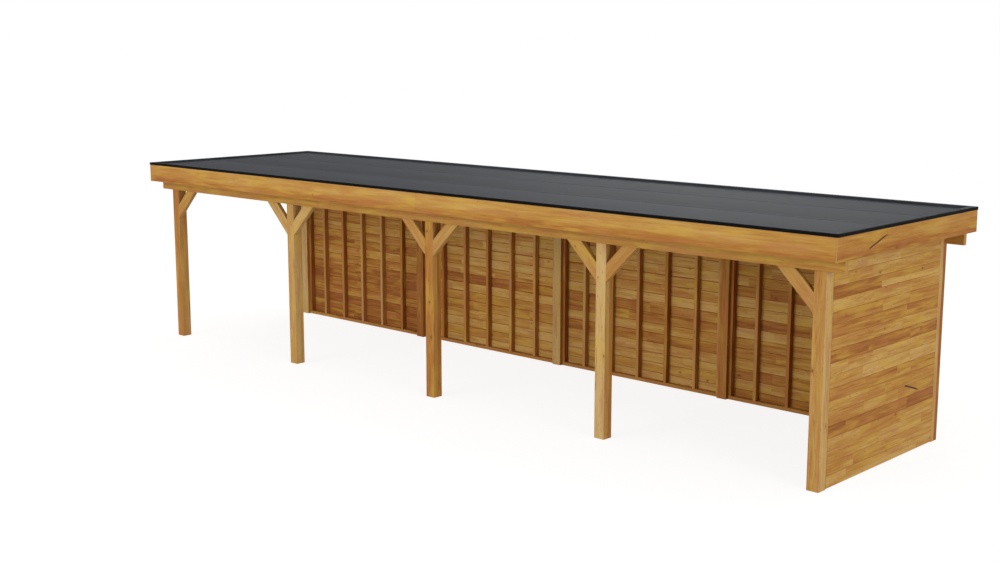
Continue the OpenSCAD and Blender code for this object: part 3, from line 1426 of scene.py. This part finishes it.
@dataclass
class Fixings:
    """Screws in the boards, the fascia and the braces, and domed bolts through the beams."""

    bench: Bench
    screw: float = 3 * MM
    bolt: float = 11 * MM
    board_screw_height: float = 0.3
    fascia_edge: float = 45 * MM
    fascia_gap: float = 90 * MM
    bolt_height: float = 165 * MM
    bolt_step: tuple[float, float] = (50 * MM, 25 * MM)
    brace_foot: tuple[float, float] = (40 * MM, 100 * MM)
    brace_gap: float = 70 * MM
    brace_reach: float = 225 * MM

    def build(self) -> None:
        """Models every row of fixings."""
        for bay in range(1, 5):
            self._wall(f"back_boards_{bay}", f"back_frame_{bay}", Vector((0.0, 1.0, 0.0)))
        self._wall("side_boards", "side_frame", Vector((1.0, 0.0, 0.0)))
        for side, outward in ((Side.FRONT, -1.0), (Side.BACK, 1.0)):
            self._fascia(side, outward)
            self._beam(side, outward)
        for post in range(1, 6):
            if post > 1:
                self._brace(f"{post}_left", -1.0)
            if post < 5:
                self._brace(f"{post}_right", 1.0)

    def _rows(
        self, name: str, first: Vector, outward: Vector, radius: float,
        steps: Sequence[tuple[int, Vector]], finish: CoatedMetal, slot: str,
    ) -> None:
        """Models one head and repeats it in even steps.

        Args:
            name: The piece's name.
            first: The middle of the first head, on the face that it is driven into.
            outward: The way that face looks.
            radius: The head's radius.
            steps: Count and step of each direction that it is repeated in.
            finish: What it is made of.
            slot: The record's material slot.
        """
        piece = self.bench.begin(name)
        turn = outward.to_track_quat("Z", "Y").to_euler()
        tall = radius * 0.5
        bpy.ops.mesh.primitive_cylinder_add(
            vertices=10, radius=radius, depth=tall, location=first, rotation=turn
        )
        self.bench.pick(piece, faces=lambda f: f.normal.dot(outward) > 0.9)
        if finish is BOLT_METAL:
            bpy.ops.mesh.inset(thickness=radius * 0.45)
            bpy.ops.transform.translate(value=outward * radius * 0.3)
        else:
            bpy.ops.mesh.inset(thickness=radius * 0.5)
            bpy.ops.mesh.extrude_region_move(TRANSFORM_OT_translate={"value": outward * -tall * 0.6})
        self.bench.close(piece)
        for count, step in steps:
            repeat = piece.modifiers.new("repeat", "ARRAY")
            repeat.count = count
            repeat.use_relative_offset = False
            repeat.use_constant_offset = True
            repeat.constant_offset_displace = step
            bpy.ops.object.modifier_apply(modifier=repeat.name)
        settle(piece, finish, slot)

    def _wall(self, boards: str, studs: str, outward: Vector) -> None:
        """Drives one screw through every board into every stud.

        Args:
            boards: The node of the boards.
            studs: The node of the frame behind them.
            outward: The way the boards look.
        """
        low, high = span(boards)
        along = Vector((outward.y, outward.x, 0.0))
        a0, a1 = low.dot(along), high.dot(along)
        stud_low, stud_high = span(studs)
        rows = round((high.z - low.z) / WallPanel.board_height)
        pitch = (high.z - low.z) / rows
        width, reach = WallPanel.stud_width, WallPanel.stud_pitch
        inner = WallPanel.inner_studs((stud_high - stud_low).dot(along))
        surface = outward * high.dot(outward)
        upward = (rows, Vector((0.0, 0.0, pitch)))
        foot = Vector((0.0, 0.0, low.z + self.board_screw_height * pitch))
        middle = (a0 + a1) / 2
        runs = {
            "inner": (middle - inner * reach, 2 * inner + 1, reach),
            "outer": (stud_low.dot(along) + width / 2, 2, (stud_high - stud_low).dot(along) - width),
        }
        for name, (start, count, step) in runs.items():
            self._rows(
                f"screws_{boards}_{name}", surface + along * start + foot, outward, self.screw,
                [upward, (count, along * step)], SCREW_METAL, "board_wood",
            )

    def _fascia(self, side: Side, outward: float) -> None:
        """Drives two screws through the fascia at every joist.

        Args:
            side: The side of the roof.
            outward: The way it looks along Y.
        """
        low, high = span(f"fascia_{side.value}")
        middle, bay = post_grid()
        first = Vector((middle, low.y if outward < 0 else high.y, high.z - self.fascia_edge))
        self._rows(
            f"screws_fascia_{side.value}", first, Vector((0.0, outward, 0.0)), self.screw,
            [(2, Vector((0.0, 0.0, -self.fascia_gap))), (21, Vector((bay / 5, 0.0, 0.0)))],
            SCREW_METAL, "fascia_wood",
        )

    def _beam(self, side: Side, outward: float) -> None:
        """Puts two domed bolts through the beam into every post.

        Args:
            side: The side of the roof that the beam is on.
            outward: The way it looks along Y.
        """
        low, high = span(f"{side.value}_beam")
        middle, bay = post_grid()
        along, up = self.bolt_step
        first = Vector((middle - along / 2, low.y if outward < 0 else high.y, low.z + self.bolt_height))
        self._rows(
            f"bolts_beam_{side.value}", first, Vector((0.0, outward, 0.0)), self.bolt,
            [(2, Vector((along, 0.0, up))), (5, Vector((bay, 0.0, 0.0)))], BOLT_METAL, "beam_wood",
        )

    def _brace(self, brace: str, way: float) -> None:
        """Drives two screws into the foot of a brace and two into its head.

        Args:
            brace: The end of the brace's node name.
            way: 1 where the brace is to the right of its post, -1 to the left.
        """
        low, high = span(f"brace_{brace}")
        inward, up = self.brace_foot
        foot = low.x if way > 0 else high.x
        first = Vector((foot + way * inward, low.y, low.z + up))
        climb = Vector((way * self.brace_reach, 0.0, self.brace_reach))
        self._rows(
            f"screws_brace_{brace}", first, Vector((0.0, -1.0, 0.0)), self.screw,
            [(2, Vector((0.0, 0.0, self.brace_gap))), (2, climb)], SCREW_METAL, "brace_wood",
        )


# ---------------------------------------------------------------------------------------------
# The studio
# ---------------------------------------------------------------------------------------------


@dataclass(frozen=True)
class Lamp:
    """A large square lamp: its place, its edge length in metres and its power in watts."""

    name: str
    place: Triple
    size: float
    power: float


@dataclass
class Studio:
    """Pale floor, soft light and the camera."""

    camera_place: Triple = (12.342, -13.216, 4.469)
    camera_heading: float = 43.033
    camera_dip: float = 9.84
    lens: float = 49.76
    sky: float = 0.5
    floor_size: float = 160.0
    floor_shaded: tuple = (0.8, 0.8, 0.8, 1.0)
    floor_grey: float = 0.25
    floor_glow: float = 0.86
    floor_fade: tuple[float, float] = (9.0, 15.0)
    aim: Triple = (0.0, 0.0, 1.2)
    lamps: tuple[Lamp, ...] = (
        Lamp("front_lamp", (-4.0, -26.0, 6.5), 12.0, 2640.0),
        Lamp("side_lamp", (60.0, -16.0, 14.0), 22.0, 12200.0),
        Lamp("back_lamp", (-16.0, 30.0, 6.5), 14.0, 3300.0),
    )

    def build(self) -> None:
        """Sets the floor, the light and the camera."""
        self._floor()
        self._world()
        for lamp in self.lamps:
            self._lamp(lamp)
        self._camera()
        bpy.context.scene.view_settings.view_transform = "Standard"

    def _floor(self) -> None:
        """Lays a wide pale floor that keeps a soft shadow and looks white to the camera.

        It lights the veranda as a grey floor does. To the camera it glows, and fades to pure white.
        """
        bpy.ops.object.select_all(action="DESELECT")
        bpy.ops.mesh.primitive_plane_add(size=self.floor_size)
        floor = bpy.context.object
        floor.name = "floor"
        g = Graph("pale_floor")
        white, grey = (1.0, 1.0, 1.0, 1.0), (*[self.floor_grey] * 3, 1.0)
        shaded = g.surface("ShaderNodeBsdfDiffuse", {0: self.floor_shaded})
        pale = g.surface("ShaderNodeBsdfDiffuse", {0: grey})
        glow = g.surface("ShaderNodeEmission", {0: white, 1: self.floor_glow})
        near = g.surface("ShaderNodeAddShader", {0: pale, 1: glow})
        far = g.surface("ShaderNodeEmission", {0: white, 1: 1.0})
        distance = g.place().length().ease(*self.floor_fade)
        shown = g.surface("ShaderNodeMixShader", {0: distance, 1: near, 2: far})
        mix = g.surface("ShaderNodeMixShader", {0: self._seen(g), 1: shaded, 2: shown})
        g.feed(g.output.inputs[0], mix)
        floor.data.materials.append(g.material)

    @staticmethod
    def _seen(g: Graph) -> Num:
        """Tells the rays that should see a white surround.

        Args:
            g: The graph.

        Returns:
            1 for rays from the camera, in reflections and through glass, and 0 for the rest.
        """
        path = g.node("ShaderNodeLightPath")
        camera, glossy, through = (
            Num(g, path.outputs[name]) for name in ("Is Camera Ray", "Is Glossy Ray", "Is Transmission Ray")
        )
        return camera.most(glossy).most(through)

    def _world(self) -> None:
        """An even sky that looks white."""
        world = bpy.data.worlds.new("studio_sky")
        world.use_nodes = True
        bpy.context.scene.world = world
        tree = world.node_tree
        tree.nodes.clear()
        path = tree.nodes.new("ShaderNodeLightPath")
        lit = tree.nodes.new("ShaderNodeBackground")
        lit.inputs[1].default_value = self.sky
        white = tree.nodes.new("ShaderNodeBackground")
        either = tree.nodes.new("ShaderNodeMath")
        either.operation = "MAXIMUM"
        mix = tree.nodes.new("ShaderNodeMixShader")
        output = tree.nodes.new("ShaderNodeOutputWorld")
        for background in (lit, white):
            background.inputs[0].default_value = (1.0, 1.0, 1.0, 1.0)
        tree.links.new(path.outputs["Is Camera Ray"], either.inputs[0])
        tree.links.new(path.outputs["Is Glossy Ray"], either.inputs[1])
        tree.links.new(either.outputs[0], mix.inputs[0])
        tree.links.new(lit.outputs[0], mix.inputs[1])
        tree.links.new(white.outputs[0], mix.inputs[2])
        tree.links.new(mix.outputs[0], output.inputs[0])

    def _lamp(self, lamp: Lamp) -> None:
        """Hangs a lamp that points at the middle of the veranda.

        Args:
            lamp: The lamp.
        """
        data = bpy.data.lights.new(lamp.name, "AREA")
        data.size = lamp.size
        data.energy = lamp.power
        made = bpy.data.objects.new(lamp.name, data)
        bpy.context.collection.objects.link(made)
        made.location = lamp.place
        way = Vector(self.aim) - Vector(lamp.place)
        made.rotation_euler = way.to_track_quat("-Z", "Y").to_euler()

    def _camera(self) -> None:
        """Sets the camera."""
        data = bpy.data.cameras.new("camera")
        data.lens = self.lens
        data.sensor_width = 36.0
        data.clip_end = 500.0
        camera = bpy.data.objects.new("camera", data)
        bpy.context.collection.objects.link(camera)
        camera.location = self.camera_place
        tilt, heading = math.radians(90.0 - self.camera_dip), math.radians(self.camera_heading)
        camera.rotation_euler = (tilt, 0.0, heading)
        bpy.context.scene.camera = camera


def back_panel(bench: Bench, bay: int) -> WallPanel:
    """The back wall's panel in one bay, with its own rows, open joints and stud tones.

    Args:
        bench: The bench.
        bay: The number of the bay, from the left.

    Returns:
        The panel, not yet built.
    """
    return WallPanel(
        bench, f"back_frame_{bay}", f"back_boards_{bay}", Axis.X, BOARD_TIMBER,
        rows={1: "drdardramrmgmamgm"}.get(bay, ""),
        open_joints={2: (7, 11)}.get(bay, (11,)),
        stud_tones={2: {0: 0.86, 2: 0.84}}.get(bay, {0: 0.86}),
        open_joint=9 * MM, groove=3.5 * MM, groove_dust_and_shade=0.7,
    )


def side_panel(bench: Bench) -> WallPanel:
    """The closed right end, its rows toned one by one.

    Args:
        bench: The bench.

    Returns:
        The panel, not yet built.
    """
    return WallPanel(
        bench, "side_frame", "side_boards", Axis.Y, SIDE_TIMBER,
        # The top row is dark: the board's own tone with the fascia's shadow painted on it.
        rows="lmggrmgalgrgamgmgld", accents=((15, -1.157, 0.4), (15, -0.17, -0.2)), groove_dust_and_shade=0.28,
    )


def main() -> None:
    """Builds the veranda from the ground up and then the studio round it."""
    logging.basicConfig(level=logging.INFO, format="%(name)s: %(message)s")
    bench = Bench(seed=1407)
    PostFrame(bench).build()
    for bay in range(1, 5):
        back_panel(bench, bay).build()
    side_panel(bench).build()
    Roof(bench).build()
    Fixings(bench).build()
    Studio().build()


if __name__ == "__main__":
    main()
